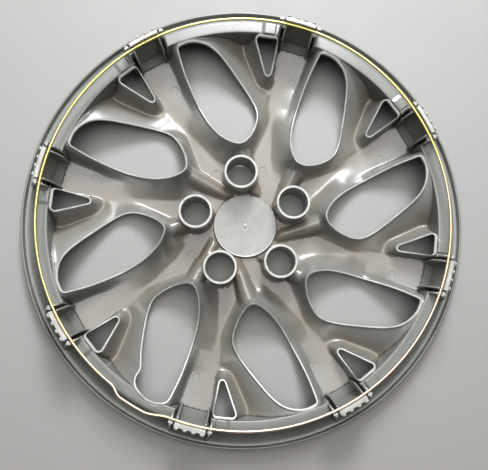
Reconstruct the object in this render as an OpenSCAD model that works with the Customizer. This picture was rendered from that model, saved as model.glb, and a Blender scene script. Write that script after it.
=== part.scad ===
// Full wheel cover for a steel road wheel, lying on its face with the clips up.
// +Z is the wheel's axle, towards the vehicle. The origin is on the axle,
// on the plane that the crown of the face rests on.

/* [Cover] */
// Outer diameter over the rim lip
cover_d = 438.6; // [405:0.2:530]
// Distance from the crown of the face back to the rim edge plane
crown_h = 15; // [11:0.5:20]
// Thickness of the moulded face, ring and hub
skin_t = 2.8; // [2.2:0.1:3.4]
// Thickness of the walls around windows and triangles
wall_t = 2.4; // [1.8:0.1:3]
// Radius at which the face stands furthest forward
crest_r = 130; // [118:1:142]
// How far the face is set back from the crown at the hub
hub_drop = 6.5; // [4:0.5:9]
// How far the face is set back from the crown at the outer ring
rim_drop = 7.5; // [5:0.5:9]

/* [Windows] */
// Radius of the inner end of the large windows
window_start_r = 79.2; // [75:0.2:86]
// Radius of the inner end of the triangular windows
triangle_start_r = 152.4; // [140:0.2:160]
// Corner radius of the triangular windows
triangle_corner_r = 2.2; // [1:0.1:3]
// Height of the window edge behind the rim edge plane, at the hub
edge_hub_h = 20; // [14:0.5:24]
// Height of the window edge in front of the rim edge plane, at the crest
edge_crest_drop = 5.5; // [3:0.5:8]
// How far the valve notch reaches past the plain windows
notch_reach = 5; // [3:0.5:6]

/* [Outer ring] */
// Radial width from the lip's outside to the ledge
flange_w = 19.3; // [17:0.1:22]
// Radial width of the ledge
ledge_w = 12.4; // [11.6:0.1:14]
// Height of the ledge behind the rim edge plane
ledge_h = 22; // [18:0.5:24]
// Thickness of the rim lip
lip_t = 2; // [1.5:0.1:3]
// Height of the rim lip above the groove beside it
lip_h = 6.5; // [4:0.1:7]
// Width of the groove beside the lip
groove_w = 3.8; // [2.5:0.1:5]

/* [Wheel bolts] */
// Pitch circle of the wheel bolts
bolt_circle_d = 100; // [98:1:112]
// Bore of each bolt sleeve
sleeve_bore_d = 28; // [24:0.5:30]
// Wall of each bolt sleeve
sleeve_wall = 2.5; // [2:0.1:3]
// Height of the sleeve ends behind the rim edge plane
sleeve_h = 20; // [14:0.5:24]
// Diameter of the round centre panel
centre_d = 63; // [58:0.5:65]

/* [Retaining wire] */
// Diameter of the spring wire
wire_d = 2.4; // [2:0.1:3]
// Height of the wire behind the rim edge plane
wire_h = 35; // [32:0.5:38]
// How far the wire is set out past the valve notch
joggle = 4.8; // [3:0.1:6]

/* [Clips] */
// Height of the clip heads behind the rim edge plane
clip_h = 39; // [37:0.5:42]
// Width of a clip along the rim
clip_w = 29; // [24:0.5:29.5]
// Thickness of a clip's upright
clip_t = 2.4; // [2:0.1:2.8]
// Radial length of a clip's side webs
clip_web_l = 12.5; // [9:0.5:13]
// Thickness of the side webs and of the fixed gussets
rib_t = 1.8; // [1.4:0.1:2.2]
// Gap between a clip and the fixed gussets beside it
slot_w = 3; // [2:0.1:3.2]
// Length of the gripping teeth
tooth_l = 3.4; // [2.5:0.1:4]
// Width of each tooth
tooth_w = 3.2; // [2.4:0.1:4]
// Pitch of the teeth
tooth_pitch = 8.1; // [7:0.1:8.4]
// Angle that a clip bends in when the cover is pressed on
clip_flex = 4; // [2:0.5:5]
// Running gap between a clip and what it moves past
clearance = 0.4; // [0.3:0.1:0.6]

/* [Hidden] */
$fn = 96;

plastic = "#8f918f";
wire_colour = "#c9bd6a";

// The design repeats eight times round the wheel; the valve notch is in one window only.
sectors = 8;
sector_a = 360 / sectors;
sleeves = 5;
first_sleeve_a = 23.6;
notch_sector = 5;
teeth = 4;
tooth_h = 4.5;

cover_r = cover_d / 2;
ring_r = cover_r - flange_w - ledge_w;
ledge_out_r = cover_r - flange_w;
window_end_r = ring_r - wall_t;
hub_r = window_start_r - wall_t;
wheel_bolt_r = bolt_circle_d / 2;
sleeve_r = sleeve_bore_d / 2 + sleeve_wall;

ledge_z = crown_h + ledge_h;
wire_z = crown_h + wire_h;
clip_z = crown_h + clip_h;
lip_z = crown_h + 1.5;
groove_z = lip_z - lip_h;
groove_r = cover_r - lip_t - groove_w;
wire_play = 0.2;
seat_z = wire_z - wire_d / 2 - wire_play / 2;
floor_z = rim_drop + skin_t;

// The wire lies on the gussets' seats, halfway over the ledge. A clip's upright stands just outside it.
clip_a = 29.6;
wire_set_in = 5.6;
wire_r = ledge_out_r - wire_set_in;
upright_r = wire_r + wire_d / 2 + wire_play;
clip_half_a = asin(clip_w / 2 / upright_r);
well_half_a = asin((clip_w / 2 + slot_w) / upright_r);
well_out_r = upright_r + clip_t + clearance;
web_start_r = upright_r - clip_web_l;

// Front surface of the face as a height over the resting plane, at radius r.
function face_z(r) = r < crest_r
    ? hub_drop * pow((crest_r - r) / crest_r, 2)
    : rim_drop * pow((r - crest_r) / (ring_r - crest_r), 2);

// Height of the window edges at radius r: lowest at the crest, rising to hub and ring.
edge_low_z = crown_h - edge_crest_drop;
function edge_z(r) = r < crest_r
    ? edge_low_z + (crown_h + edge_hub_h - edge_low_z) * pow((crest_r - r) / (crest_r - hub_r), 1.85)
    : edge_low_z + (ledge_z - edge_low_z) * pow((r - crest_r) / (ring_r - crest_r), 1.2);

function polar(r, a) = [r * cos(a), r * sin(a)];

// Catmull-Rom value between b and c, with a and d as their outer neighbours.
function spline(a, b, c, d, t) =
    0.5 * (2 * b + (c - a) * t + (2 * a - 5 * b + 4 * c - d) * t * t + (3 * b - 3 * c + d - a) * t * t * t);

// Outline of a large window: [share of its radial length, angle], from its sharp outer corner
// inwards along the straight spoke, round the hub end and back out along the branch.
window_knots = [
    [0.993, 21.2], [0.76, 21.6], [0.48, 20.7], [0.245, 18.3], [0.075, 12.8], [0, 4.5],
    [0.065, -1.6], [0.197, -5.2], [0.345, -5.9], [0.487, -2.5], [0.72, 4.9], [0.876, 9.2],
    [0.96, 12.8], [1, 17.2]
];
notch_share = notch_reach / (window_end_r - window_start_r);
notch_knots = [
    [0.985, 21.3], [0.76, 21.6], [0.48, 20.7], [0.245, 18.3], [0.075, 12.8], [0, 4.5],
    [0.065, -1.6], [0.197, -5.2], [0.345, -5.9], [0.487, -2.5], [0.72, 4.9], [0.868, 9.3],
    [0.93, 9.5], [1, 11], [1 + notch_share, 15.6], [1 + notch_share * 0.6, 19.4]
];

function knot_point(k) = polar(window_start_r + (window_end_r - window_start_r) * k[0], k[1]);
function window_points(knots, steps = 3) =
    let (n = len(knots), p = [for (k = knots) knot_point(k)])
    [for (i = [0 : n - 1], s = [0 : steps - 1])
        spline(p[max(i - 1, 0)], p[i], p[(i + 1) % n], i + 2 > n ? p[0] : p[(i + 2) % n], s / steps)];

// Closed anticlockwise outline moved outwards by w.
function unit(v) = v / norm(v);
function moved(p, w) =
    let (n = len(p))
    [for (i = [0 : n - 1])
        let (
            e0 = unit(p[i] - p[(i + n - 1) % n]),
            e1 = unit(p[(i + 1) % n] - p[i]),
            m = unit(e0 + e1)
        )
        p[i] + [m[1], -m[0]] * w / max(0.6, m * e1)];

// Triangle with rounded corners: apex towards the hub, base on the ring.
triangle_corners = [
    polar(triangle_start_r, 35.7),
    polar(window_end_r, 35.2),
    polar(window_end_r, 41.9)
];
function rounded(p, rad, n = 4) =
    [for (i = [0 : len(p) - 1])
        let (
            c = p[i],
            u = unit(p[(i + len(p) - 1) % len(p)] - c),
            v = unit(p[(i + 1) % len(p)] - c),
            half = acos(u * v) / 2,
            mid = c + unit(u + v) * rad / sin(half),
            first = c + u * rad / tan(half) - mid,
            start = atan2(first[1], first[0])
        )
        for (j = [0 : n]) mid + polar(rad, start + (180 - 2 * half) * j / n)];

// Sections through the axle, as [radius, height] points.
function face_line(r0, r1, n, lift) =
    [for (i = [0 : n]) let (r = r0 + (r1 - r0) * i / n) [r, face_z(r) + lift]];
function edge_line(r0, r1, n) =
    [for (i = [n : -1 : 0]) let (r = r0 + (r1 - r0) * i / n) [r, edge_z(r)]];
function backwards(p) = [for (i = [len(p) - 1 : -1 : 0]) p[i]];

// The curved flange that follows the wheel's rim: a quarter ellipse, t from ledge to groove.
flange_top_z = ledge_z - 1.2;
function flange_line(out, t0, t1, n) =
    [for (i = [0 : n])
        let (t = t0 + (t1 - t0) * i / n)
        [groove_r - (groove_r - ledge_out_r + out) * cos(t), flange_top_z - (flange_top_z - groove_z + out) * sin(t)]];
ring_section = concat(
    [[ring_r, ledge_z], [ledge_out_r - 1.2, ledge_z]],
    flange_line(0, 0, 90, 7),
    [[cover_r - lip_t, groove_z], [cover_r - lip_t, lip_z], [cover_r, lip_z]],
    [[cover_r, groove_z - 1], [cover_r - 1.8, groove_z - skin_t]],
    flange_line(skin_t, 90, 0, 7),
    [[ledge_out_r - skin_t, ledge_z - skin_t], [ring_r + wall_t, ledge_z - skin_t]],
    [[ring_r + wall_t, rim_drop], [ring_r, rim_drop]]
);

// Part of a turned shape, centred on angle 0.
module turned_part(half_a) {
    rotate(-half_a) rotate_extrude(angle = 2 * half_a) children();
}

// A flat plate standing along a radius, drawn as [radius, height] points.
module radial_plate(t, points) {
    rotate([90, 0, 0]) translate([0, 0, -t / 2]) linear_extrude(t) polygon(points);
}

module face_band(r0, r1, n) {
    rotate_extrude() polygon(concat(face_line(r0, r1, n, 0), backwards(face_line(r0, r1, n, skin_t))));
}

module prism(points) {
    translate([0, 0, -1]) linear_extrude(clip_z) polygon(points);
}

module shell_of(points) {
    difference() {
        prism(moved(points, wall_t));
        prism(points);
    }
}

// At their ring ends the windows and triangles are cut through the thin ledge only,
// so everything in front of the ledge is left open there, between two angles.
window_mouth = [12.6, 21.4];
triangle_mouth = [36, 41.2];
module mouth(angles, reach) {
    low_z = -1;
    rotate(angles[0]) rotate_extrude(angle = angles[1] - angles[0])
        translate([window_end_r - 3, low_z]) square([3 + wall_t + reach, ledge_z - skin_t - low_z]);
}

// Middle line of a window, [radius, angle], where one spoke ends and the next begins.
border = [[hub_r - 2, 4.5], [crest_r, 9], [ring_r + 4, 15.5]];

// One spoke: the straight arm to a clip, the branch beside it and the triangle between them,
// with half of the wall of the window on each side.
module spoke(before, after) {
    window_a = window_points(before);
    window_b = window_points(after);
    triangle = rounded(triangle_corners, triangle_corner_r);
    outer = [polar(ring_r + 40, border[2][1] + sector_a / 2)];
    limits = concat(
        [for (k = border) polar(k[0], k[1])], outer,
        [for (i = [2 : -1 : 0]) polar(border[i][0], border[i][1] + sector_a)]
    );
    color(plastic) difference() {
        intersection() {
            prism(limits);
            union() {
                face_band(hub_r, ring_r, 8);
                intersection() {
                    rotate_extrude() polygon(concat(face_line(hub_r, ring_r, 8, 0), edge_line(hub_r, ring_r, 9)));
                    union() {
                        shell_of(window_a);
                        rotate(sector_a) shell_of(window_b);
                        shell_of(triangle);
                    }
                }
            }
        }
        prism(window_a);
        rotate(sector_a) prism(window_b);
        prism(triangle);
        mouth(window_mouth, 1);
        rotate(sector_a) mouth(window_mouth, 1);
        mouth(triangle_mouth, 1);
    }
}

// Ridges behind the grooves between two spokes: straight, from a window's hub end to the centre.
ridge_start = polar(window_start_r + 1, 3.5);
ridge_tip = polar(centre_d / 2 + 3.5, -17);
ridge_along = ridge_start - ridge_tip;
ridge_half = [3.6, 9.6];
module ridge(shrink, low, drop) {
    run = norm(ridge_along);
    translate(ridge_tip) rotate(atan2(ridge_along[1], ridge_along[0])) intersection() {
        translate([0, 0, -5]) linear_extrude(clip_z) polygon([
            [0, shrink - ridge_half[0]], [run, shrink - ridge_half[1]],
            [run, ridge_half[1] - shrink], [0, ridge_half[0] - shrink]
        ]);
        radial_plate(3 * ridge_half[1], [
            [0, face_z(centre_d / 2) + low], [run, face_z(hub_r) + low],
            [run, edge_z(hub_r) - drop], [0, face_z(centre_d / 2) + skin_t - drop]
        ]);
    }
}
module ridges(shrink, low, drop) {
    intersection() {
        translate([0, 0, -5]) cylinder(h = clip_z, r = hub_r);
        for (k = [0 : sectors - 1]) rotate(sector_a * k) ridge(shrink, low, drop);
    }
}

module at_sleeves() {
    for (i = [0 : sleeves - 1]) rotate(first_sleeve_a + 360 / sleeves * i) translate([wheel_bolt_r, 0, 0]) children();
}

module hub() {
    seam_h = 0.6;
    color(plastic) difference() {
        union() {
            face_band(0, hub_r, 5);
            translate([0, 0, face_z(0) + skin_t - 1]) cylinder(h = 1 + seam_h, d = centre_d);
            ridges(0, skin_t / 2, 0);
        }
        ridges(wall_t, -skin_t, skin_t);
        translate([0, 0, face_z(0) + skin_t]) cylinder(h = 5, d = centre_d - 2);
        at_sleeves() translate([0, 0, -1]) cylinder(h = clip_z, r = sleeve_r);
    }
}

module lug_sleeve(i) {
    start_z = face_z(wheel_bolt_r);
    color(plastic) rotate(first_sleeve_a + 360 / sleeves * (i - 1)) translate([wheel_bolt_r, 0, start_z])
        difference() {
            cylinder(h = crown_h + sleeve_h - start_z, r = sleeve_r);
            translate([0, 0, -1]) cylinder(h = clip_z, d = sleeve_bore_d);
        }
}

// Fixed gusset at each end of a clip: it carries the wire in a seat and stops it from moving outwards.
seat_l = 3;
rib_end_r = groove_r - 0.5;
gusset_low_z = rim_drop + 1;
gusset_top_z = clip_z - 1.5;
gusset_section = [
    [ring_r, gusset_low_z], [ring_r, ledge_z + 1], [wire_r - seat_l, seat_z], [upright_r, seat_z],
    [upright_r, gusset_top_z], [ledge_out_r - 1, gusset_top_z], [rib_end_r, groove_z + 5],
    [rib_end_r, groove_z - 1.5], [ledge_out_r + 5, gusset_low_z]
];
// Sloping pad between a clip and the rim lip.
pad_in_r = ledge_out_r - 1.2;
pad_top_z = ledge_z - 5;
pad_section = [
    [pad_in_r, pad_top_z], [ledge_out_r, pad_top_z], [rib_end_r, groove_z + 3],
    [rib_end_r, groove_z - 1], [ledge_out_r + 4, groove_z], [pad_in_r, pad_top_z - 7]
];
gusset_offset = clip_w / 2 + slot_w + rib_t / 2;
// The ledge stands a step higher between each triangle and the slanted edge beside it.
ledge_step = 1.2;
step_outline = [polar(ring_r, 36.2), polar(ledge_out_r - 1.5, 36.2), polar(ledge_out_r - 1.5, 46.6), polar(ring_r, 44)];

module outer_ring() {
    notch = window_points(notch_knots);
    color(plastic) difference() {
        union() {
            difference() {
                rotate_extrude() polygon(ring_section);
                for (k = [0 : sectors - 1]) rotate(sector_a * k + clip_a)
                    turned_part(well_half_a)
                        translate([ring_r - 1, 0]) square([well_out_r - ring_r + 1, clip_z]);
                for (k = [0 : sectors - 1]) rotate(sector_a * k) {
                    mouth(window_mouth, wall_t + 0.6);
                    mouth(triangle_mouth, wall_t + 0.6);
                }
            }
            for (k = [0 : sectors - 1]) rotate(sector_a * k + clip_a) {
                turned_part(well_half_a + 0.3)
                    translate([ring_r, rim_drop]) square([groove_r - ring_r, skin_t]);
                turned_part(well_half_a + 0.2) polygon(pad_section);
                for (s = [-1, 1]) translate([0, s * gusset_offset, 0]) radial_plate(rib_t, gusset_section);
            }
            for (k = [0 : sectors - 1]) rotate(sector_a * k)
                translate([0, 0, ledge_z - 1]) linear_extrude(1 + ledge_step) polygon(step_outline);
            intersection() {
                rotate(sector_a * notch_sector) shell_of(notch);
                rotate_extrude() translate([ring_r, ledge_z - skin_t])
                    square([notch_reach + 2 * wall_t, skin_t + 2]);
            }
        }
        rotate(sector_a * notch_sector) prism(notch);
    }
}

// The clip's root is level with the well's floor; it bends inwards about that line,
// so the undersides of its webs rise by more than the bend takes them down.
clip_foot_z = floor_z + clearance;
web_low_z = clip_foot_z + clip_web_l * sin(clip_flex) + 0.5;
web_top_z = seat_z - 0.3;
web_set_in = 0.3;
web_section = [
    [upright_r + 1, clip_foot_z], [upright_r + 1, web_top_z], [wire_r - seat_l, web_top_z],
    [web_start_r, seat_z - 12], [web_start_r, web_low_z], [upright_r - 1, clip_foot_z]
];
module clip(k) {
    color(plastic) rotate(sector_a * (k - 1) + clip_a) {
        turned_part(clip_half_a) translate([upright_r, clip_foot_z]) square([clip_t, clip_z - clip_foot_z]);
        for (s = [-1, 1]) translate([0, s * ((clip_w - rib_t) / 2 - web_set_in), 0]) radial_plate(rib_t, web_section);
        for (i = [0 : teeth - 1])
            translate([upright_r, (i - (teeth - 1) / 2) * tooth_pitch - tooth_w / 2, clip_z - tooth_h])
                cube([clip_t + tooth_l, tooth_w, tooth_h]);
    }
}

// The wire is a ring that steps outwards past the valve notch: a round tube swept once round.
notch_a = sector_a * notch_sector;
function smooth(t) = let (u = min(1, max(0, t))) u * u * (3 - 2 * u);
function wire_path_r(a) =
    wire_r + joggle * (smooth((a - notch_a - 5.5) / 4) - smooth((a - notch_a - 16.5) / 7));
wire_sides = 8;
wire_angles = [
    for (a = [notch_a + 4.5 : 1.25 : notch_a + 24.5]) a,
    for (i = [1 : 84]) notch_a + 24.5 + i * 4
];
module tension_wire() {
    rings = len(wire_angles);
    points = [
        for (a = wire_angles, j = [0 : wire_sides - 1])
            let (b = 360 * j / wire_sides, r = wire_path_r(a) + wire_d / 2 * cos(b))
            [r * cos(a), r * sin(a), wire_z + wire_d / 2 * sin(b)]
    ];
    faces = [
        for (i = [0 : rings - 1], j = [0 : wire_sides - 1])
            let (p = i * wire_sides, q = (i + 1) % rings * wire_sides, k = (j + 1) % wire_sides)
            [p + j, p + k, q + k, q + j]
    ];
    color(wire_colour) polyhedron(points, faces, convexity = 4);
}

module plain_spoke() { spoke(window_knots, window_knots); }

hub();
lug_sleeve(1);  // lug_sleeve_1
lug_sleeve(2);  // lug_sleeve_2
lug_sleeve(3);  // lug_sleeve_3
lug_sleeve(4);  // lug_sleeve_4
lug_sleeve(5);  // lug_sleeve_5
plain_spoke();  // spoke_1
rotate(sector_a) plain_spoke();  // spoke_2
rotate(sector_a * 2) plain_spoke();  // spoke_3
rotate(sector_a * 3) plain_spoke();  // spoke_4
rotate(sector_a * 4) spoke(window_knots, notch_knots);  // spoke_5
rotate(sector_a * 5) spoke(notch_knots, window_knots);  // spoke_6
rotate(sector_a * 6) plain_spoke();  // spoke_7
rotate(sector_a * 7) plain_spoke();  // spoke_8
outer_ring();
tension_wire();
clip(1);  // clip_1
clip(2);  // clip_2
clip(3);  // clip_3
clip(4);  // clip_4
clip(5);  // clip_5
clip(6);  // clip_6
clip(7);  // clip_7
clip(8);  // clip_8
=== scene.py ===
# %% [markdown]
# # A spoked wheel cover, lying on its face
#
# A wheel cover is one thin moulding of grey ABS with a spring wire clipped round its back. This lesson
# rebuilds the back of it: the skin with its windows, the ring and lip, the bolt sleeves, the eight
# gripping clips and the wire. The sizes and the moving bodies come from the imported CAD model, so every
# piece here only has to be drawn in the same place, in more detail.

import math

import bpy
import numpy as np
from mathutils import Matrix, Vector
from mathutils.geometry import delaunay_2d_cdt


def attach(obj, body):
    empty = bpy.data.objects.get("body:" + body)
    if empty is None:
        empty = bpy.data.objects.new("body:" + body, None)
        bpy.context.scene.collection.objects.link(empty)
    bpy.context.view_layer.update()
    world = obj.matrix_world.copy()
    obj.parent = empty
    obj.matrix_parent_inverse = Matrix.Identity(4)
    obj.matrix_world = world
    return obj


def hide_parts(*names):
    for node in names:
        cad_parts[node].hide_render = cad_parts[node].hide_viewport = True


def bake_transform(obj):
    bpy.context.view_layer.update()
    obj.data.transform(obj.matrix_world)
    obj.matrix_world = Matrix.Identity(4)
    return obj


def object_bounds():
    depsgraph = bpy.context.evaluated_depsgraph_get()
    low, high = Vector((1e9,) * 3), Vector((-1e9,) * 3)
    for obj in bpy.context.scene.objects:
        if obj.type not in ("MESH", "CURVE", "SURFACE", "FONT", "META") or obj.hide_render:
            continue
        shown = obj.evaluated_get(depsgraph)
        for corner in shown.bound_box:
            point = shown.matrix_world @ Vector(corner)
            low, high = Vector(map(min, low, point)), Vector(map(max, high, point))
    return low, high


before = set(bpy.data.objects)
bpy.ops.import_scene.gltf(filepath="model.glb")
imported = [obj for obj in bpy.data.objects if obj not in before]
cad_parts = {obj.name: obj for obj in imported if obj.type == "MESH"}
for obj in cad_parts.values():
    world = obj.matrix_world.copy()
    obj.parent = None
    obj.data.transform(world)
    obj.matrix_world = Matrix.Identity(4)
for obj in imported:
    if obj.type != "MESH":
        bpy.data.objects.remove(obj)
cad_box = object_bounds()
print("CAD box, mm:", [[round(v * 1000, 1) for v in corner] for corner in cad_box])

# %% [markdown]
# ## Camera
#
# The view looks down on the back of the cover, a little from one side, so the far windows show less of
# their walls than the near ones. A short lens and a small shift give the same framing without turning
# the camera away from the cover.

# %% The camera
camera_data = bpy.data.cameras.new("camera")
camera_data.sensor_fit = "HORIZONTAL"
camera_data.sensor_width = 36
camera_data.lens = 41.3
camera_data.shift_x, camera_data.shift_y = -0.016, 0.065
camera = bpy.data.objects.new("camera", camera_data)
camera.matrix_world = (
    Matrix.Translation((-0.0238, -0.0796, 0.5685))
    @ (Matrix.Rotation(0.054, 3, "Y") @ Matrix.Rotation(-0.069, 3, "X")).transposed().to_4x4()
)
bpy.context.scene.collection.objects.link(camera)
bpy.context.scene.camera = camera
print("lens", camera_data.lens, "mm, camera at", [round(v, 3) for v in camera.matrix_world.translation])

# %% [markdown]
# ## Sizes
#
# All lengths are in millimetres, as on a drawing, and one function turns them into metres when a mesh is
# made. The face is a shallow dome: it touches the ground at one radius, the crest, and is set back at
# the hub and at the ring. The window edges follow a second, steeper curve behind it.

# %% Sizes of the moulding
LIP_R = cad_box[1][0] * 1000
RING_R, HUB_R, DISC_R = 187.6, 76.8, 31.5
WINDOW_R, WINDOW_END_R, TRIANGLE_R = 79.2, 185.2, 152.4
CREST_R, SKIN_T, WALL_T = 130.0, 2.8, 2.4
LEDGE_Z, EDGE_LOW_Z, GROOVE_Z, LIP_Z = 37.0, 9.5, 10.0, 16.5
SLEEVE_CIRCLE_R, SLEEVE_R, SLEEVE_BORE_R, SLEEVE_TOP_Z = 50.0, 16.5, 14.0, 35.0
UPRIGHT_R, WIRE_R, WIRE_Z, WIRE_D = 195.8, 194.4, 50.0, 2.4
SECTORS, SECTOR_A, CLIP_A, NOTCH_SECTOR = 8, 45.0, 29.6, 5
print("lip diameter", round(2 * LIP_R, 1))


def polar(r, a):
    """Points at radius r and angle a, in degrees."""
    r, a = np.broadcast_arrays(np.asarray(r, float), np.radians(a))
    return np.stack([r * np.cos(a), r * np.sin(a)], -1)


def angle_of(p):
    """Angle of each point round the axle, in degrees, from -180 to 180."""
    return np.degrees(np.arctan2(p[..., 1], p[..., 0]))


def to_nearest(p, centres):
    """Distance from each point to the nearest of several centres."""
    return np.hypot(p[:, :1] - centres[:, 0], p[:, 1:2] - centres[:, 1]).min(axis=1)


def smooth(t):
    """Rises from 0 to 1 as t does, level at both ends: 3 t squared minus 2 t cubed."""
    t = np.clip(t, 0, 1)
    return t * t * (3 - 2 * t)


def face_z(r):
    """Front of the face: two parabolas that touch the ground at the crest."""
    drop = np.where(r < CREST_R, 6.5, 7.5)
    return drop * (np.abs(r - CREST_R) / np.where(r < CREST_R, CREST_R, RING_R - CREST_R)) ** 2


def edge_z(r):
    """Height of the window edges: lowest at the crest, rising as a power of the distance from it."""
    inner = EDGE_LOW_Z + 25.5 * (np.clip(CREST_R - r, 0, 53.2) / 53.2) ** 1.85
    outer = EDGE_LOW_Z + 27.5 * (np.clip(r - CREST_R, 0, 57.6) / 57.6) ** 1.2
    return np.where(r < CREST_R, inner, outer)


# %% [markdown]
# ## Outlines of the windows
#
# Each large window is a closed curve through a few knots, given as the share of its radial length and an
# angle. The curve between two knots is a Catmull-Rom spline, which passes through every knot. One window
# has a notch for the tyre valve. Each knot also has a weight: how far the slope that falls from that
# stretch of edge spreads before it meets the next one. Long, gentle slopes face narrow, steep ones.

# %% Window and triangle outlines
PLAIN_KNOTS = np.array([
    [0.993, 21.2, 2.0], [0.76, 21.6, 2.0], [0.48, 20.7, 2.0], [0.245, 18.3, 1.9], [0.075, 12.8, 1.5],
    [0, 4.5, 1.2], [0.065, -1.6, 1.0], [0.197, -5.2, 1.0], [0.345, -5.9, 1.2], [0.487, -2.5, 1.8],
    [0.72, 4.9, 2.3], [0.876, 9.2, 2.5], [0.96, 12.8, 2.5], [1, 17.2, 2.2],
])
NOTCH_KNOTS = np.concatenate([PLAIN_KNOTS[:11], np.array([
    [0.868, 9.3, 2.5], [0.93, 9.5, 2.5], [1, 11, 2.5], [1.047, 15.6, 2.3], [1.028, 19.4, 2.1],
])])
NOTCH_KNOTS[0] = [0.985, 21.3, 2.0]
SPACING = 1.25
TRIANGLE_CORNER_R = 2.6


def resampled(curve, spacing):
    """A closed curve with its points an equal length of arc apart."""
    ring = np.concatenate([curve, curve[:1]])
    run = np.concatenate([[0], np.cumsum(np.hypot(*np.diff(ring[:, :2], axis=0).T))])
    at = np.linspace(0, run[-1], int(run[-1] / spacing), endpoint=False)
    return np.stack([np.interp(at, run, column) for column in ring.T], -1)


def eased(curve, times):
    """Rounds corners: each point becomes a quarter of each neighbour and half of itself."""
    for _ in range(times):
        curve = (np.roll(curve, 1, 0) + 2 * curve + np.roll(curve, -1, 0)) / 4
    return curve


def window_outline(knots):
    """Catmull-Rom curve through the knots: a cubic between b and c whose slopes come from a and d."""
    p = np.column_stack([polar(WINDOW_R + (WINDOW_END_R - WINDOW_R) * knots[:, 0], knots[:, 1]), knots[:, 2]])
    n = len(p)
    i = np.arange(n)
    a, b, c = p[np.maximum(i - 1, 0)], p[i], p[(i + 1) % n]
    d = np.where((i + 2 > n)[:, None], p[0], p[(i + 2) % n])
    t = np.linspace(0, 1, 24, endpoint=False)[:, None, None]
    cubic = 2 * b + (c - a) * t + (2 * a - 5 * b + 4 * c - d) * t**2 + (3 * b - 3 * c + d - a) * t**3
    curve = (0.5 * cubic).transpose(1, 0, 2).reshape(-1, 3)
    return eased(resampled(curve, SPACING), 4)


def triangle_outline():
    """Three straight sides joined by arcs. Each arc's centre is on the corner's bisector, at a distance of
    radius / sin(half angle)."""
    corners = np.array([polar(TRIANGLE_R - 5, 35.8), polar(WINDOW_END_R, 35.1), polar(WINDOW_END_R, 42.0)])
    arcs = []
    for i, weights in enumerate(((1.0, 0.45), (0.45, 0.8), (0.8, 1.0))):
        corner = corners[i]
        u, v = corners[i - 1] - corner, corners[(i + 1) % 3] - corner
        u, v = u / np.hypot(*u), v / np.hypot(*v)
        half = math.acos(u @ v) / 2
        centre = corner + (u + v) / np.hypot(*(u + v)) * TRIANGLE_CORNER_R / math.sin(half)
        start = corner + u * TRIANGLE_CORNER_R / math.tan(half) - centre
        sweep = math.degrees(math.atan2(start[1], start[0]))
        sweep = sweep + np.linspace(0, 180 - 2 * math.degrees(half), 12)
        arcs.append(np.column_stack([centre + polar(TRIANGLE_CORNER_R, sweep), np.linspace(*weights, 12)]))
    return eased(resampled(np.concatenate(arcs), 1.0), 1)


def turned(points, degrees):
    """The same points turned about the axle."""
    c, s = math.cos(math.radians(degrees)), math.sin(math.radians(degrees))
    x, y = points[..., 0], points[..., 1]
    out = points.copy()
    out[..., 0], out[..., 1] = x * c - y * s, x * s + y * c
    return out


def outward(curve):
    """Unit normals that point out of an anticlockwise outline: its tangent turned a quarter clockwise."""
    step = np.roll(curve[:, :2], -1, 0) - np.roll(curve[:, :2], 1, 0)
    step /= np.hypot(*step.T)[:, None]
    return np.column_stack([step[:, 1], -step[:, 0]])


windows = [
    turned(window_outline(NOTCH_KNOTS if k == NOTCH_SECTOR else PLAIN_KNOTS), SECTOR_A * k)
    for k in range(SECTORS)
]
triangles = [turned(triangle_outline(), SECTOR_A * k) for k in range(SECTORS)]
print("points on one window outline:", len(windows[0]), "and on one triangle:", len(triangles[0]))

# %% [markdown]
# ## Shape of the skin
#
# Seen from behind, the skin is a set of channels. From each window edge a slope falls to a valley, where
# it meets the slope of the neighbouring edge. The valley is wherever the two nearest edges are equally
# far away, once each distance is divided by the edge's weight. This one rule gives the spokes, their
# branches and the crease in the middle of each, so the whole skin is a single height over the plane.
# Three things are added to it: the floor of the arm that leads to each clip is flat, a ridge runs from
# each window to the centre panel, and shallow round marks show where the mould's ejector pins pushed.

# %% Height of the back of the skin
edge_points = np.concatenate(windows + triangles)
edge_owner = np.repeat(np.arange(2 * SECTORS), [len(c) for c in windows + triangles])
owner_start = np.flatnonzero(np.diff(edge_owner, prepend=-1))
sleeve_centres = polar(SLEEVE_CIRCLE_R, 23.6 + 72 * np.arange(5))
MARK_R, MARK_PLACES = 3.6, ((61.0, 27.5), (158.0, 27.0))
mark_centres = np.concatenate([polar(r, a + SECTOR_A * np.arange(SECTORS)) for r, a in MARK_PLACES])
ridge_tips = polar(35.0, -17 + SECTOR_A * np.arange(SECTORS))
ridge_starts = polar(80.2, 3.5 + SECTOR_A * np.arange(SECTORS))
ROUND_R, FILLET_R, RIM_STEP, MARK_DEPTH = 0.4, 3.0, 2.2, 0.3
print("points on all edges:", len(edge_points), "ejector marks:", len(mark_centres))


def edge_distances(p):
    """For each point: distance to the nearest edge, and the two smallest weighted distances to edges."""
    nearest, first, second = [], [], []
    for part in np.array_split(p, max(1, len(p) // 1500)):
        d = np.hypot(part[:, :1] - edge_points[:, 0], part[:, 1:2] - edge_points[:, 1])
        weighted = np.minimum.reduceat(np.maximum(d - WALL_T, 0) / edge_points[:, 2], owner_start, axis=1)
        weighted = np.partition(weighted, 1, axis=1)
        nearest.append(d.min(axis=1))
        first.append(weighted[:, 0])
        second.append(weighted[:, 1])
    return np.concatenate(nearest), np.concatenate(first), np.concatenate(second)


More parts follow.
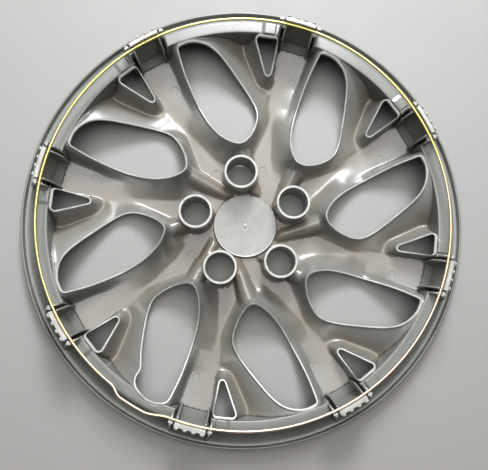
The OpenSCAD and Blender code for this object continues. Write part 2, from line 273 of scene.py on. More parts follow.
def ridge_height(p):
    """A ridge from each window's hub end to the disc: height times (1 - (v / half)^2)^0.45 across, so its
    top is nearly flat and its sides are steep."""
    along = ridge_starts - ridge_tips
    length = np.hypot(*along.T)
    rel = p[:, None, :] - ridge_tips
    u = (rel * along).sum(-1) / length**2
    v = np.abs(rel[..., 0] * along[:, 1] - rel[..., 1] * along[:, 0]) / length
    half = 4.8 + 5.6 * np.clip(u, 0, 1)
    ends = np.clip(-u * length, 0, None)
    across = np.clip(1 - (v**2 + ends**2) / half**2, 0, None)
    crown = 4.6 + 14.5 * np.clip(u, 0, 1)
    return (crown * across**0.45 * (u < 1.02)).max(axis=1)


def skin_height(p):
    """Height of the back of the skin, how deep in its channel each point is, from 0 to 1, and its distance
    from the nearest edge. The height is floor + (edge - floor) * slope^power, less a step behind the edge."""
    r = np.hypot(*p.T)
    local = (angle_of(p) + 5) % SECTOR_A - 5
    near, first, second = edge_distances(p)
    slope = (second - first) / (second + first + 1e-9)
    slope = (np.sqrt(slope**2 + 0.02**2) - 0.02) / (math.sqrt(1 + 0.02**2) - 0.02)
    floor, edge = face_z(r) + SKIN_T, edge_z(r)
    in_well = smooth((local - 22.3) / 2.6) * smooth((35.0 - local) / 0.9) * smooth((r - 112) / 56)
    power = 1.25 + 2.1 * smooth((116 - r) / 38)
    off_disc = smooth((r - DISC_R) / 22)
    rise = (edge - floor) * slope**power * (1 - in_well) * off_disc
    rise -= RIM_STEP * slope * smooth((near - 1.5) / 0.9) * smooth((RING_R + 0.5 - r) / 4) * off_disc
    z = np.maximum(floor + rise, floor + ridge_height(p) * smooth((r - DISC_R + 1) / 5))
    foot = np.clip(to_nearest(p, sleeve_centres) - SLEEVE_R, 0, FILLET_R)
    z += FILLET_R - np.sqrt(FILLET_R**2 - (FILLET_R - foot) ** 2)
    z -= ROUND_R - np.sqrt(ROUND_R**2 - np.clip(ROUND_R - near, 0, ROUND_R) ** 2)
    z -= MARK_DEPTH * smooth((MARK_R + 0.2 - to_nearest(p, mark_centres)) / 0.4)
    return z, 1 - slope, near


# %% [markdown]
# ## A net of points for the skin
#
# The skin has 21 holes, so no single grid fits it. Rings of points run round every hole, close together
# at the edge where the plastic is rounded over, and an even lattice fills the rest. A Delaunay
# triangulation joins them: it is the net with the fattest triangles, and it keeps the rings as edges.

# %% Points and triangles of the skin
COLUMNS = np.unique(np.round(np.concatenate(
    [np.arange(0, 360, 0.5)]
    + [SECTOR_A * k + np.array([24.42, 24.5, 34.7, 34.78, 36.15, 36.2, 43.95, 44.03]) for k in range(SECTORS)]
), 3))


def border_radius(a):
    """Where the skin meets the ring: a circle, pushed outwards past the valve notch."""
    notch = windows[NOTCH_SECTOR]
    notch_a, notch_r = angle_of(notch) % 360, np.hypot(notch[:, 0], notch[:, 1])
    outer = notch_r > 180
    order = np.argsort(notch_a[outer])
    reach = np.interp(a, notch_a[outer][order], notch_r[outer][order] + WALL_T, left=0, right=0)
    return np.maximum(RING_R, reach)


border = polar(border_radius(COLUMNS), COLUMNS)
EDGE_ROWS = (0, 0.08, 0.22, 0.4, 1.0, 1.5, 1.8, 2.1, 2.4, 3.0, 3.6)
SLEEVE_ROWS = (16.5, 16.9, 17.6, 18.5, 19.6)


def closed_edges(start, count):
    """Index pairs that join count points into a loop."""
    i = np.arange(count)
    return np.column_stack([start + i, start + (i + 1) % count])


def circle(centre, radius, spacing=SPACING):
    """Points round a circle."""
    return centre + polar(radius, np.linspace(0, 360, int(2 * math.pi * radius / spacing), endpoint=False))


def inside_any(p):
    """True for points within a window or triangle: the nearest edge point's normal points away."""
    out = []
    normals = np.concatenate([outward(c) for c in windows + triangles])
    for part in np.array_split(p, max(1, len(p) // 1500)):
        i = np.hypot(part[:, :1] - edge_points[:, 0], part[:, 1:2] - edge_points[:, 1]).argmin(1)
        out.append(((part - edge_points[i, :2]) * normals[i]).sum(1) < 0)
    return np.concatenate(out)


def skin_net():
    """All points of the net, and the edges that it must keep."""
    loops = []
    for outline in windows + triangles:
        for offset in EDGE_ROWS:
            loops.append(outline[:, :2] + outward(outline) * offset)
    for centre in sleeve_centres:
        loops += [circle(centre, radius) for radius in SLEEVE_ROWS]
    for centre in mark_centres:
        loops += [circle(centre, MARK_R + gap) for gap in (-0.2, -0.07, 0.07, 0.2)]
    loops += [circle(np.zeros(2), DISC_R), border]
    hub_ring = circle(np.zeros(2), HUB_R)
    clear = to_nearest(hub_ring, edge_points)
    x, y = np.meshgrid(np.arange(-188, 188, 1.9), np.arange(-188, 188, 1.65))
    x[1::2] += 0.95
    lattice = np.column_stack([x.ravel(), y.ravel()])
    r = np.hypot(*lattice.T)
    lattice = lattice[(r > DISC_R + 1) & (r < RING_R - 1) & (np.abs(r - HUB_R) > 0.8)]
    off_mark = np.abs(to_nearest(lattice, mark_centres) - MARK_R) > 0.7
    lattice = lattice[(to_nearest(lattice, sleeve_centres) > 20.4) & off_mark]
    near = np.concatenate([to_nearest(part, edge_points) for part in np.array_split(lattice, 40)])
    lattice = lattice[(near > 4.4) & ~inside_any(lattice)]
    starts = np.cumsum([0] + [len(c) for c in loops])
    edges = np.concatenate([closed_edges(s, len(c)) for s, c in zip(starts, loops)])
    points = np.concatenate(loops + [hub_ring[clear > 3.6], lattice])
    radius = np.hypot(*points.T)
    kept = radius <= border_radius(angle_of(points) % 360) + 0.02
    number = np.cumsum(kept) - 1
    edges = number[edges[kept[edges].all(axis=1)]]
    return points[kept], edges


net_points, net_edges = skin_net()
net = delaunay_2d_cdt([Vector(p) for p in net_points.tolist()], net_edges.tolist(), [], 0, 1e-5)
xy = np.array([tuple(v) for v in net[0]])
tris = np.array(net[2])
centres = xy[tris].mean(axis=1)
centre_r = np.hypot(*centres.T)
within_ring = (centre_r > DISC_R - 0.02) & (centre_r < border_radius(angle_of(centres) % 360))
off_holes = (to_nearest(centres, sleeve_centres) > SLEEVE_R - 0.02) & ~inside_any(centres)
tris = tris[within_ring & off_holes]
print("skin points", len(xy), "triangles", len(tris))

# %% [markdown]
# ## From arrays to Blender meshes
#
# One function turns an array of points into an object. Every piece stays at the origin, with its place in
# its mesh. It can take normals of its own, which keeps the shading even from one piece to the next, and a
# value at each point for the material to read.

# %% Mesh writer
def unit_rows(v):
    """Each row divided by its length."""
    return v / np.maximum(np.linalg.norm(v, axis=-1, keepdims=True), 1e-12)


def corner_normals(points, faces):
    """Vertex normals: the sum of the cross products of the faces that meet there, so that large faces
    count more."""
    total = np.zeros_like(points)
    across = np.cross(points[faces[:, 1]] - points[faces[:, 0]], points[faces[:, 2]] - points[faces[:, 0]])
    for corner in range(faces.shape[1]):
        np.add.at(total, faces[:, corner], across)
    return unit_rows(total)


def piece(name, points, faces, material, normals=None, **fields):
    """A mesh object at the origin from points in millimetres, smooth shaded, with its own normals if given,
    and a value at every point for each field."""
    mesh = bpy.data.meshes.new(name)
    mesh.from_pydata((np.asarray(points) / 1000).tolist(), [], [list(f) for f in faces])
    mesh.materials.append(material)
    mesh.polygons.foreach_set("use_smooth", np.ones(len(mesh.polygons), bool))
    for field, values in fields.items():
        mesh.attributes.new(field, "FLOAT", "POINT").data.foreach_set("value", np.asarray(values, np.float32))
    if normals is not None:
        mesh.normals_split_custom_set(normals.tolist())
    thing = bpy.data.objects.new(name, mesh)
    bpy.context.scene.collection.objects.link(thing)
    return thing


# %% [markdown]
# ## Moulded grey ABS
#
# The cover is ABS, injection moulded in its own grey and left unpainted on the back. The mould was spark
# eroded, which leaves a fine grain and a satin sheen. The melt cooled unevenly, so the grey drifts a
# little over a few centimetres. In the valleys the colour is mixed towards a warm brown, as painted shade,
# and window edges, sleeve rims and other corners are painted pale, as a painted highlight. Two fields on
# the mesh say where: "channel" is the depth in a valley, and "rim" is 1 along the edges.
#
# The wire is spring steel, zinc plated and passivated, which gives a thin yellow film that turns pink and
# pale where it is thicker.

# %% Materials
def linear(hex_colour):
    """sRGB hex to linear: divide by 12.92 near black, otherwise the 2.4 power curve."""
    s = np.array([int(hex_colour[i : i + 2], 16) for i in (1, 3, 5)]) / 255
    return (*np.where(s <= 0.04045, s / 12.92, ((s + 0.055) / 1.055) ** 2.4), 1.0)


def add(tree, kind, values=None, links=None, **settings):
    """Adds a node: settings are its own properties, values go into its inputs and links come from sockets."""
    node = tree.nodes.new(kind)
    for key, value in settings.items():
        setattr(node, key, value)
    for key, value in (values or {}).items():
        node.inputs[key].default_value = value
    for key, socket in (links or {}).items():
        tree.links.new(socket, node.inputs[key])
    return node


def new_material(name):
    """An empty material with a Principled shader, and its tree."""
    material = bpy.data.materials.new(name)
    material.use_nodes = True
    return material, material.node_tree, material.node_tree.nodes["Principled BSDF"]


def moulded_abs():
    """Grey ABS: colour drift of 60 mm, grain of 0.9 mm (0.1 mm on the real mould), painted warm shade by
    channel depth, and a painted pale highlight along the edges."""
    material, tree, shader = new_material("grey_abs_moulded")
    place = add(tree, "ShaderNodeTexCoord").outputs["Object"]
    drift = add(tree, "ShaderNodeTexNoise", {"Scale": 17.0, "Detail": 3.0, "Roughness": 0.55},
                {"Vector": place})
    grey = add(tree, "ShaderNodeValToRGB", links={"Fac": drift.outputs["Fac"]})
    for stop, position, colour in zip(grey.color_ramp.elements, (0.3, 0.7), ("#5f605b", "#70716c")):
        stop.position, stop.color = position, linear(colour)
    # Painted shade: the grey is mixed towards a warm brown as far as the "channel" field says a point lies
    # deep in a valley, broken up by a noise, to paint the warm shade in the channels.
    deep = add(tree, "ShaderNodeAttribute", attribute_name="channel")
    patch_noise = add(tree, "ShaderNodeTexNoise", {"Scale": 90.0, "Detail": 4.0, "Roughness": 0.7},
                 {"Vector": place})
    valley_shade = add(tree, "ShaderNodeMath", links={0: deep.outputs["Fac"], 1: patch_noise.outputs["Fac"]},
               operation="MULTIPLY")
    valley_shade = add(tree, "ShaderNodeMath", {1: 0.9}, {0: valley_shade.outputs[0]}, operation="MULTIPLY", use_clamp=True)
    valley_shaded_grey = add(tree, "ShaderNodeMix", {"B": linear("#66563f")},
                {"Factor": valley_shade.outputs[0], "A": grey.outputs["Color"]}, data_type="RGBA")
    # Painted highlight: the colour is mixed towards a pale grey wherever the "rim" field is set, on window
    # edges, sleeve rims, clip teeth, gusset tops and the centre panel, broken up by the same noise.
    edge = add(tree, "ShaderNodeAttribute", attribute_name="rim")
    highlight_patches = add(tree, "ShaderNodeMapRange",
                {"From Min": 0.35, "From Max": 0.6, "To Min": 0.45, "To Max": 0.9},
                {"Value": patch_noise.outputs["Fac"]})
    pale = add(tree, "ShaderNodeMath", links={0: edge.outputs["Fac"], 1: highlight_patches.outputs["Result"]},
               operation="MULTIPLY")
    highlighted = add(tree, "ShaderNodeMix", {"B": linear("#a9a8a3")},
                 {"Factor": pale.outputs[0], "A": valley_shaded_grey.outputs["Result"]}, data_type="RGBA")
    tree.links.new(highlighted.outputs["Result"], shader.inputs["Base Color"])
    sheen = add(tree, "ShaderNodeMapRange",
                {"From Min": 0.3, "From Max": 0.7, "To Min": 0.24, "To Max": 0.34},
                {"Value": drift.outputs["Fac"]})
    tree.links.new(sheen.outputs["Result"], shader.inputs["Roughness"])
    grain = add(tree, "ShaderNodeTexNoise", {"Scale": 1100.0, "Detail": 2.0}, {"Vector": place})
    bump = add(tree, "ShaderNodeBump", {"Strength": 0.1, "Distance": 0.0003},
               {"Height": grain.outputs["Fac"]})
    tree.links.new(bump.outputs["Normal"], shader.inputs["Normal"])
    shader.inputs["IOR"].default_value = 1.53
    shader.inputs["Coat Weight"].default_value = 0.12
    shader.inputs["Coat Roughness"].default_value = 0.22
    return material


def plated_wire():
    """Yellow zinc: a metal with a film that runs from yellow to pale pink along y, because the ring hung
    in the bath, and drifts over about 110 mm."""
    material, tree, shader = new_material("yellow_zinc_drawn_wire")
    place = add(tree, "ShaderNodeTexCoord").outputs["Object"]
    film = add(tree, "ShaderNodeTexNoise", {"Scale": 9.0, "Detail": 2.0}, {"Vector": place})
    height = add(tree, "ShaderNodeSeparateXYZ", links={"Vector": place})
    run = add(tree, "ShaderNodeMapRange",
              {"From Min": 0.02, "From Max": -0.17, "To Min": -0.12, "To Max": 0.22},
              {"Value": height.outputs["Y"]})
    film = add(tree, "ShaderNodeMath", links={0: film.outputs["Fac"], 1: run.outputs["Result"]},
               operation="ADD")
    tint = add(tree, "ShaderNodeValToRGB", links={"Fac": film.outputs[0]})
    for stop, position, colour in zip(tint.color_ramp.elements, (0.38, 0.68), ("#d9d07c", "#dcc4ae")):
        stop.position, stop.color = position, linear(colour)
    tree.links.new(tint.outputs["Color"], shader.inputs["Base Color"])
    wear = add(tree, "ShaderNodeTexNoise", {"Scale": 700.0, "Detail": 3.0}, {"Vector": place})
    rough = add(tree, "ShaderNodeMapRange",
                {"From Min": 0.3, "From Max": 0.7, "To Min": 0.38, "To Max": 0.55},
                {"Value": wear.outputs["Fac"]})
    tree.links.new(rough.outputs["Result"], shader.inputs["Roughness"])
    bump = add(tree, "ShaderNodeBump", {"Strength": 0.08, "Distance": 0.0002},
               {"Height": wear.outputs["Fac"]})
    tree.links.new(bump.outputs["Normal"], shader.inputs["Normal"])
    shader.inputs["Metallic"].default_value = 1.0
    return material


grey_abs, zinc_wire = moulded_abs(), plated_wire()
print("materials:", grey_abs.name, "and", zinc_wire.name)

# %% [markdown]
# ## From points to a closed moulding
#
# The back of the skin is the height at every point. The front is the same net moved forwards, by the
# wall's thickness measured square to the surface, so slopes get a larger step than flats. Walls close
# every edge. The normals are worked out over the whole skin before it is divided into the hub and the
# eight spokes, so no seam shows between two pieces.

# %% The skin: hub and spokes
back_z, depth, near_edge = skin_height(xy)
# rim: a band about 1.5 mm wide along every window and triangle edge, which the material paints with a pale
# highlight; depth, stored as "channel", is where it paints warm shade.
rim = smooth((1.7 - near_edge) / 0.4)
back = np.column_stack([xy, back_z])
back_n = corner_normals(back, tris)
radius = np.hypot(*xy.T)
step = SKIN_T / np.clip(back_n[:, 2], 0.35, 1)
step = 2.1 + (step - 2.1) * smooth(near_edge / 6)
front_z = np.maximum(back_z - step, np.maximum(face_z(radius), 0.0))
front_z = np.minimum(front_z, back_z - 1.2)
front = np.column_stack([xy, front_z])
both = np.concatenate([back, front])
count = len(xy)


def rim_walls(faces):
    """Quads between back and front along every edge that only one triangle uses."""
    sides = np.concatenate([faces[:, [0, 1]], faces[:, [1, 2]], faces[:, [2, 0]]])
    key = np.sort(sides, axis=1)
    _, first, number = np.unique(key[:, 0] * count + key[:, 1], return_index=True, return_counts=True)
    a, b = sides[first[number == 1]].T
    return np.column_stack([b, a, a + count, b + count])


all_walls = rim_walls(tris)
skin_n = corner_normals(both, np.concatenate([tris, tris[:, ::-1] + count]))
half_walls = [corner_normals(both, all_walls[:, half]) for half in ([0, 1, 2], [0, 2, 3])]
whole_n = unit_rows(skin_n + 0.6 * half_walls[0] + 0.6 * half_walls[1])
middles = xy[tris].mean(axis=1)
tri_r, tri_a = np.hypot(*middles.T), angle_of(middles)
share = np.clip((tri_r - 76) / 110, 0, 1)
tri_spoke = ((tri_a - (4.5 + 10.5 * share)) % 360 // SECTOR_A).astype(int)
regions = {"hub": tri_r < HUB_R}
regions.update({f"spoke_{k + 1}": (tri_r >= HUB_R) & (tri_spoke == k) for k in range(SECTORS)})
real_edges = {tuple(sorted(e)) for e in all_walls[:, :2].tolist()}
for node, chosen in regions.items():
    own = tris[chosen]
    walls = rim_walls(own)
    used, packed = np.unique(np.concatenate([own.ravel(), own.ravel() + count]), return_inverse=True)
    renumber = np.zeros(2 * count, int)
    renumber[used] = np.arange(len(used))
    seam = np.array([tuple(sorted(e)) not in real_edges for e in walls[:, :2].tolist()])
    flat = unit_rows(np.cross(both[walls[:, 1]] - both[walls[:, 0]], both[walls[:, 2]] - both[walls[:, 0]]))
    wall_n = np.where(seam[:, None, None], flat[:, None, :], whole_n[walls])
    loops = [whole_n[own.ravel()], whole_n[own[:, ::-1].ravel() + count], wall_n.reshape(-1, 3)]
    faces = renumber[own].tolist() + renumber[own[:, ::-1] + count].tolist() + renumber[walls].tolist()
    fields = {"channel": np.tile(depth, 2)[used], "rim": np.tile(rim, 2)[used]}
    skin = piece(f"{node}_skin", both[used], faces, grey_abs, np.concatenate(loops), **fields)
    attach(skin, "cover")
    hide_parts(node)
    print(skin.name, len(faces), "faces")

# %% [markdown]
# ## Ring and lip
#
# The ring is one closed section carried once round the axle. Most of the way it is a wall, a level ledge
# and a curved flange that ends in a lip. At the eight clips the ledge is left out, down to a floor, and
# the flange becomes a sloping pad. Both sections have the same number of points, so the change from one
# to the other is only a pair of columns close together.

# %% The outer ring
def ring_section():
    """Radius, height and twist of every section point, one row per column of the ring."""
    a = COLUMNS
    local = (a + 5) % SECTOR_A - 5
    well = (local > 24.45) & (local < 34.75)
    raised = np.where((local > 36.17) & (local < 44.0), 1.2, 0.0)
    twist = 2.6 * smooth(1 - np.abs(local - 44) / 5)
    inner = np.hypot(*border.T)
    index = np.array([np.hypot(*(xy - p).T).argmin() for p in border])
    meet, under = back_z[index], front_z[index]
    top = np.where(well, meet + 0.02, LEDGE_Z + raised)
    rows = []

    def at(r, z, turn=1.0):
        rows.append(np.stack([r + 0 * a, z + 0 * a, turn * twist], -1))

    low = np.minimum(meet, top - 1.3)
    at(inner, np.minimum(under, top - 1.6), 0)
    at(inner, low, 0)
    at(inner, np.where(well, meet, (low + top - 1.2) / 2), 0)
    for t in np.linspace(0, 90, 5):
        c, s = math.cos(math.radians(t)), math.sin(math.radians(t))
        at(inner + 1.1 * (1 - c), np.where(well, meet, top - 1.1 * (1 - s)), 0.1)
    for share in (0.15, 0.4, 0.65, 0.88):
        outwards = inner + 1.1 + (197.6 - inner - 1.1) * share
        at(outwards, np.where(well, meet + (10.3 - meet) * share, top), share)
    at(197.6, np.where(well, 10.3, top))
    at(198.3, np.where(well, 10.3, top - 0.25))
    at(np.where(well, 198.7, 198.6), np.where(well, 10.7, np.minimum(top - 0.8, LEDGE_Z)))
    at(np.where(well, 198.8, 199.0), np.where(well, 31.5, LEDGE_Z - 0.1))
    for i, t in enumerate(np.linspace(4, 88, 13)):
        c, s = math.cos(math.radians(t)), math.sin(math.radians(t))
        share = i / 12
        at(np.where(well, 199.2 + (213.2 - 199.2) * share, 213.5 - 13.5 * c),
           np.where(well, 32.6 - (32.6 - GROOVE_Z - 1.2) * share, 35.8 - 25.8 * s), 1 - share)
    groove = [(214.1, GROOVE_Z), (216.7, GROOVE_Z), (217.2, GROOVE_Z + 0.6)]
    lip_top = [(217.3, LIP_Z - 0.5), (217.6, LIP_Z - 0.05), (218.4, LIP_Z), (LIP_R - 0.25, LIP_Z - 0.2)]
    lip_side = [(LIP_R, LIP_Z - 0.8), (LIP_R, GROOVE_Z - 0.6)]
    lip_front = [(LIP_R - 0.5, GROOVE_Z - 1.9), (LIP_R - 2.0, GROOVE_Z - 2.8)]
    for r, z in groove + lip_top + lip_side + lip_front:
        at(r, z, 0)
    for t in np.linspace(88, 4, 11):
        c, s = math.cos(math.radians(t)), math.sin(math.radians(t))
        r, z = 213.5 - 16.3 * c, 35.8 - 28.6 * s
        at(np.where(well, np.maximum(r, 201.5), r), np.where(well, np.minimum(z, 29), z), 0)
    at(np.where(well, 200.5, 196.5), np.where(well, 8.2, LEDGE_Z - SKIN_T), 0)
    at(np.where(well, 198.5, inner + WALL_T + 0.6), np.where(well, 7.5, LEDGE_Z - SKIN_T), 0)
    at(inner + np.where(well, 5.0, WALL_T), np.where(well, (under + 7.5) / 2, LEDGE_Z - SKIN_T - 0.6), 0)
    below_ledge = np.minimum(under, LEDGE_Z - SKIN_T - 0.8)
    at(inner + np.where(well, 1.5, WALL_T), np.where(well, under, below_ledge), 0)
    return np.stack(rows, 1)


section = ring_section()
spin = np.radians(COLUMNS[:, None] + section[..., 2])
ring_points = np.stack([section[..., 0] * np.cos(spin), section[..., 0] * np.sin(spin), section[..., 1]], -1)


def torus_quads(rows, columns):
    """Quads of a grid that closes on itself both ways."""
    i, j = np.meshgrid(np.arange(rows), np.arange(columns), indexing="ij")
    k, m = (i + 1) % rows, (j + 1) % columns
    return np.stack([i * columns + j, i * columns + m, k * columns + m, k * columns + j], -1).reshape(-1, 4)


ring_faces = torus_quads(*ring_points.shape[:2])
ring = piece("rim_ring", ring_points.reshape(-1, 3), ring_faces, grey_abs)
print("ring quads", len(ring_faces))

# %% [markdown]
# ## Small moulded parts
#
# The gussets, clips and teeth are plates and blocks. Each is a loft: a ring of points carried through a
# few layers, with a cap at both ends. The first and last layers are drawn in a little, which rounds the
# edges as a mould does, and a weighted-normal modifier keeps the flat faces flat.

# %% Lofts, plates and blocks
EDGE_R = 0.35


def loft(layers):
    """Closed surface through layers of points (layer, point, xyz): quads between layers and two caps."""
    m, n = layers.shape[:2]
    i, j = np.meshgrid(np.arange(m - 1), np.arange(n), indexing="ij")
    k = (j + 1) % n
    quads = np.stack([i * n + j, i * n + k, (i + 1) * n + k, (i + 1) * n + j], -1).reshape(-1, 4).tolist()
    return layers.reshape(-1, 3), quads + [list(range(n))[::-1], list(range((m - 1) * n, m * n))]


def drawn_in(outline, distance):
    """An anticlockwise outline moved inwards: along the mean of its two edge normals, longer at corners."""
    before, after = unit_rows(outline - np.roll(outline, 1, 0)), unit_rows(np.roll(outline, -1, 0) - outline)
    mean = unit_rows(before + after)
    reach = distance / np.maximum(0.5, (mean * after).sum(-1, keepdims=True))
    return outline + np.column_stack([-mean[:, 1], mean[:, 0]]) * reach


def plate(section, thickness, offset, angle, edge=EDGE_R):
    """A plate standing along a radius: its outline in (radius, height), its thickness across the radius."""
    steps = [(edge, 0), (edge * 0.3, edge * 0.3), (0, edge), (0, thickness - edge),
             (edge * 0.3, thickness - edge * 0.3), (edge, thickness)]
    layers = []
    for inset, y in steps[::-1]:
        outline = drawn_in(np.array(section, float), inset)
        across = np.full(len(outline), offset - thickness / 2 + y)
        layers.append(np.column_stack([outline[:, 0], across, outline[:, 1]]))
    return loft(turned(np.array(layers)[::-1][:, ::-1], angle))


def arc_block(section, half_a, angle, edge=EDGE_R, middle=10):
    """A section in (radius, height) carried along an arc, its two ends drawn in."""
    reach = math.degrees(edge / section[0][0])
    turns = [(-half_a, edge), (-half_a + reach * 0.3, edge * 0.3), (-half_a + reach, 0)]
    turns += [(t, 0) for t in np.linspace(-half_a + reach, half_a - reach, middle)[1:-1]]
    turns += [(half_a - reach, 0), (half_a - reach * 0.3, edge * 0.3), (half_a, edge)]
    layers = []
    for t, inset in turns:
        outline = drawn_in(np.array(section, float), inset)
        layers.append(np.column_stack([polar(outline[:, 0], angle + t), outline[:, 1]]))
    return loft(np.array(layers)[:, ::-1])


def rounded_corners(section, radius, steps=3):
    """Each corner of a polygon becomes a quadratic curve that starts and ends one radius from it."""
    p = np.array(section, float)
    to_last, to_next = np.roll(p, 1, 0) - p, np.roll(p, -1, 0) - p
    shorter = np.minimum(np.linalg.norm(to_last, axis=1), np.linalg.norm(to_next, axis=1))
    cut = np.minimum(radius, 0.45 * shorter)[:, None]
    a, b = p + unit_rows(to_last) * cut, p + unit_rows(to_next) * cut
    t = np.linspace(0, 1, steps + 1)[:, None, None]
    return ((1 - t) ** 2 * a + 2 * t * (1 - t) * p + t**2 * b).transpose(1, 0, 2).reshape(-1, 2)


def joined(shapes):
    """Several closed shapes as one list of points and faces."""
    points, faces, start = [], [], 0
    for p, f in shapes:
        points.append(p)
        faces += [[v + start for v in face] for face in f]
        start += len(p)
    return np.concatenate(points), faces


def weighted(thing):
    """Flat faces keep their own direction, and only the narrow rounded edges turn between them."""
    modifier = thing.modifiers.new("weighted normals", "WEIGHTED_NORMAL")
    modifier.weight = 60
    return thing


weighted(ring)
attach(ring, "cover")
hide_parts("outer_ring")
print("edge radius of small parts, mm:", EDGE_R)

# %% [markdown]
# ## Gussets
#
# A thin gusset stands at each end of every clip. The wire rests in a step near its top, and a small nub
# outside the wire stops it from riding up. From there the gusset slopes down the flange to the lip.

# %% Gussets and nubs
GUSSET = rounded_corners([
    (187.8, 8.8), (204.5, 8.8), (213.0, 8.8), (213.0, 15.2), (199.2, 52.0), (196.0, 52.4),
    (UPRIGHT_R, 48.8), (191.2, 48.8), (187.8, 38.4),
], 0.8)
clip_angles = CLIP_A + SECTOR_A * np.arange(SECTORS)
gussets = []
for angle in clip_angles:
    for side in (-1, 1):
        gussets.append(plate(GUSSET, 1.8, side * 18.4, angle))
        nub = rounded_corners([(196.3, 46.5), (198.6, 46.5), (198.4, 52.6), (196.6, 52.6)], 0.5)
        gussets.append(arc_block(nub, 0.62, angle + side * 5.35, edge=0.3, middle=4))
points, faces = joined(gussets)
# Above 48 mm, the gusset tops and nubs get the painted pale highlight through the "rim" field.
gusset_piece = weighted(piece("clip_gussets", points, faces, grey_abs, rim=points[:, 2] > 48))
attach(gusset_piece, "cover")
print("gussets:", 2 * SECTORS)

# %% [markdown]
# ## Clips
#
# Each clip is an upright finger with two side webs and a thick head that carries four teeth. It bends at
# its root, so it is a piece of its own and rides on its own body.

# %% The eight clips
HEAD = rounded_corners([
    (UPRIGHT_R, 44.0), (198.2, 44.0), (199.6, 49.6), (199.6, 54.0), (UPRIGHT_R, 54.0),
], 0.6)
UPRIGHT = rounded_corners([(UPRIGHT_R, 10.7), (198.2, 10.7), (198.2, 45.0), (UPRIGHT_R, 45.0)], 0.4)
WEB = rounded_corners([
    (196.6, 10.8), (196.6, 48.4), (191.4, 48.4), (187.0, 43.4), (183.5, 36.5), (183.3, 12.2), (186.0, 11.8),
], 1.0)


def tooth(offset, angle):
    """A tooth: a rectangle in (offset, height) that shrinks as it goes out along the radius."""
    r = np.array([199.0, 200.6, 201.3, 201.6])
    wide = np.array([4.4, 3.4, 3.1, 2.6]) / 2
    low, high = np.array([48.6, 50.0, 50.4, 50.9]), np.array([54, 54, 53.8, 53.4])
    y = offset + np.stack([-wide, wide, wide, -wide], 1)
    z = np.stack([low, low, high, high], 1)
    return loft(turned(np.stack([np.repeat(r[:, None], 4, 1), y, z], -1), angle))


TOOTH_PLACES = (-12.15, -4.05, 4.05, 12.15)
for k, angle in enumerate(clip_angles):
    shapes = [arc_block(UPRIGHT, 4.25, angle), arc_block(HEAD, 4.25, angle)]
    shapes += [plate(WEB, 1.8, side * 13.25, angle) for side in (-1, 1)]
    shapes += [tooth(y, angle) for y in TOOTH_PLACES]
    points, faces = joined(shapes)
    # The teeth tops, above 53 mm, get the painted pale highlight through the "rim" field.
    clip = weighted(piece(f"clip_{k + 1}_finger", points, faces, grey_abs, rim=points[:, 2] > 53))
    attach(clip, f"clip_{k + 1}")
    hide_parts(f"clip_{k + 1}")
print("clips:", SECTORS, "with", len(TOOTH_PLACES), "teeth each")

# %% [markdown]
# ## Bolt sleeves and centre panel
#
# These are turned shapes: a profile carried round an axis. The sleeves end in a flat rim with both edges
# rounded. The centre panel is the place where the melt entered the mould, so it has a gate mark and two
# faint rings round it.

# %% Turned pieces
def turned_shape(profile, centre, sides=72):
    """A closed profile of (radius, height) carried once round an upright axis."""
    a = np.linspace(0, 360, sides, endpoint=False)
    profile = np.array(profile, float)
    xy_ring = polar(profile[None, :, 0], a[:, None]) + centre
    points = np.concatenate([xy_ring, np.broadcast_to(profile[None, :, 1:], (*xy_ring.shape[:2], 1))], -1)
    return points.reshape(-1, 3), torus_quads(sides, len(profile)).tolist()


sleeve_base_z = float(face_z(SLEEVE_CIRCLE_R))
for i, centre in enumerate(sleeve_centres):
    profile = rounded_corners([
        (SLEEVE_BORE_R, sleeve_base_z), (SLEEVE_R, sleeve_base_z), (SLEEVE_R, 12.0),
        (SLEEVE_R - 0.2, SLEEVE_TOP_Z), (SLEEVE_BORE_R, SLEEVE_TOP_Z), (SLEEVE_BORE_R, 20.0),
    ], 0.45)
    points, faces = turned_shape(profile, centre)
    # The sleeve's rim, above 34.4 mm, gets the painted pale highlight through the "rim" field.
    sleeve = weighted(piece(f"lug_sleeve_{i + 1}_tube", points, faces, grey_abs, rim=points[:, 2] > 34.4))
    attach(sleeve, "cover")
    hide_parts(f"lug_sleeve_{i + 1}")

gate_mark = [(0.05, 10.4), (1.1, 10.3), (1.6, 9.5), (2.6, 9.32)]
faint_rings = [(4.3, 9.3), (4.6, 9.45), (6.6, 9.4), (6.9, 9.25), (12.0, 9.3), (29.8, 9.3)]
panel_rim = [(30.4, 9.5), (30.7, 9.85), (31.1, 9.9), (31.45, 9.65), (DISC_R, 9.0), (DISC_R, 4.2)]
panel_front = [(31.1, 3.8), (20.0, 4.75), (10.0, 5.6), (0.05, 6.5)]
points, faces = turned_shape(gate_mark + faint_rings + panel_rim + panel_front, np.zeros(2), 96)
from_axle = np.hypot(points[:, 0], points[:, 1])
# Painted highlight on the panel top: full on the seam ring and the gate mark, 0.3 over the rest.
pale = np.where((from_axle > 30) | (from_axle < 2), 1.0, 0.3) * (points[:, 2] > 9.2)
centre_panel = weighted(piece("centre_panel", points, [f[::-1] for f in faces], grey_abs, rim=pale))
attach(centre_panel, "cover")
print("sleeves:", len(sleeve_centres), "rim height", SLEEVE_TOP_Z)

# %% [markdown]
# ## Retaining wire
#
# The wire is one closed ring of spring steel. It lies in the gussets' steps and presses every clip
# outwards, and it swings out past the valve notch. The ring is drawn in sixteen lengths, each running
# from one clip to the middle of the span beside it.

# %% The wire
NOTCH_A, WIRE_STEP, WELD_A = SECTOR_A * NOTCH_SECTOR, 4.8, 231.4


def wire_radius(a):
    """Radius of the wire at an angle: a circle with one smooth step outwards and back."""
    return WIRE_R + WIRE_STEP * (smooth((a - NOTCH_A - 5.5) / 4) - smooth((a - NOTCH_A - 16.5) / 7))


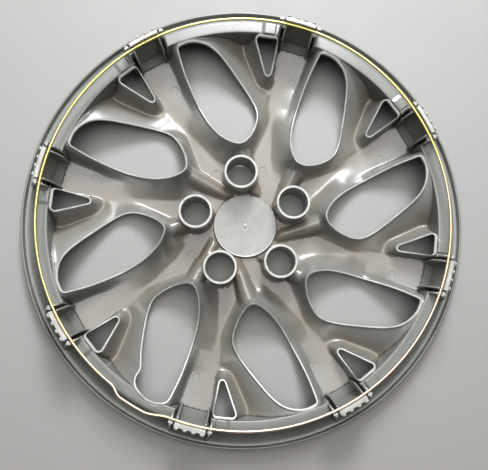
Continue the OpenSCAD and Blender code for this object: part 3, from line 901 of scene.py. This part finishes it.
def wire_length(start, end, sides=14):
    """A tube round the wire's path. A small bead marks the weld where the ring was closed."""
    a = np.linspace(start, end, 31)[:, None]
    b = np.linspace(0, 360, sides, endpoint=False)[None, :]
    thick = WIRE_D / 2 * (1 + 0.12 * np.exp(-(((a % 360) - WELD_A) / 0.35) ** 2))
    flat, up = np.cos(np.radians(b)), np.sin(np.radians(b))
    r, z = wire_radius(a % 360) + thick * flat, WIRE_Z + thick * up
    points = np.concatenate([polar(r, a), z[..., None]], -1)
    out = np.concatenate([polar(flat + 0 * a, a), (up + 0 * a)[..., None]], -1)
    shape, faces = loft(points[:, ::-1])
    out = out[:, ::-1].reshape(-1, 3)
    sides_n = out[np.array(faces[:-2]).ravel()]
    ends_n = np.concatenate([np.repeat([np.append(polar(-1.0, start + 90), 0)], sides, 0),
                             np.repeat([np.append(polar(1.0, end + 90), 0)], sides, 0)])
    return shape, faces, np.concatenate([sides_n, ends_n])


half_span = SECTOR_A / 2
for k, angle in enumerate(clip_angles):
    for name, side in (("a", -1), ("b", 1)):
        start, end = sorted((angle, angle + side * half_span))
        shape, faces, normals = wire_length(start, end)
        wire = piece(f"wire_{k + 1}{name}", shape, faces, zinc_wire, normals)
        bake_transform(wire)
        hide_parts("tension_wire")
print("wire length, mm:", round(2 * math.pi * WIRE_R))

# %% [markdown]
# ## Floor and light
#
# A plain pale floor and three lamps. A small lamp, like a window, stands beyond the top of the cover. It
# draws the highlights and throws the soft shadows. A large one hangs overhead and fills the channels,
# and a weak warm one comes from the near side.

# %% Floor, lamps and world
def floor_material():
    """Matt pale paint: one colour with a slight change of roughness every 40 mm or so."""
    material, tree, shader = new_material("floor_matt_paint")
    place = add(tree, "ShaderNodeTexCoord").outputs["Object"]
    patches = add(tree, "ShaderNodeTexNoise", {"Scale": 25.0}, {"Vector": place})
    rough = add(tree, "ShaderNodeMapRange", {"To Min": 0.6, "To Max": 0.75},
                {"Value": patches.outputs["Fac"]})
    tree.links.new(rough.outputs["Result"], shader.inputs["Roughness"])
    shader.inputs["Base Color"].default_value = linear("#878582")
    return material


floor_mesh = bpy.data.meshes.new("floor")
floor_mesh.from_pydata([(-3, -3, 0), (3, -3, 0), (3, 3, 0), (-3, 3, 0)], [], [(0, 1, 2, 3)])
floor_mesh.materials.append(floor_material())
floor = bpy.data.objects.new("floor", floor_mesh)
bpy.context.scene.collection.objects.link(floor)


def lamp(name, place, target, size, power, colour):
    """A square soft lamp that faces a point."""
    data = bpy.data.lights.new(name, "AREA")
    data.size, data.energy, data.color = size, power, linear(colour)[:3]
    thing = bpy.data.objects.new(name, data)
    thing.location = place
    thing.rotation_euler = (Vector(target) - Vector(place)).to_track_quat("-Z", "Y").to_euler()
    bpy.context.scene.collection.objects.link(thing)


lamp("window_lamp", (0.1, 1.0, 0.95), (0, 0, 0), 0.42, 32, "#f8faff")
lamp("overhead_lamp", (0.0, 0.3, 1.4), (0, 0, 0), 1.4, 27, "#ffffff")
lamp("fill_lamp", (0.9, -0.9, 0.7), (0, 0, 0), 1.0, 0.8, "#ffdcb8")
world = bpy.data.worlds.new("studio")
world.use_nodes = True
world.node_tree.nodes["Background"].inputs["Color"].default_value = linear("#e9ebf0")
world.node_tree.nodes["Background"].inputs["Strength"].default_value = 0.05
bpy.context.scene.world = world
bpy.context.scene.view_settings.view_transform = "Standard"
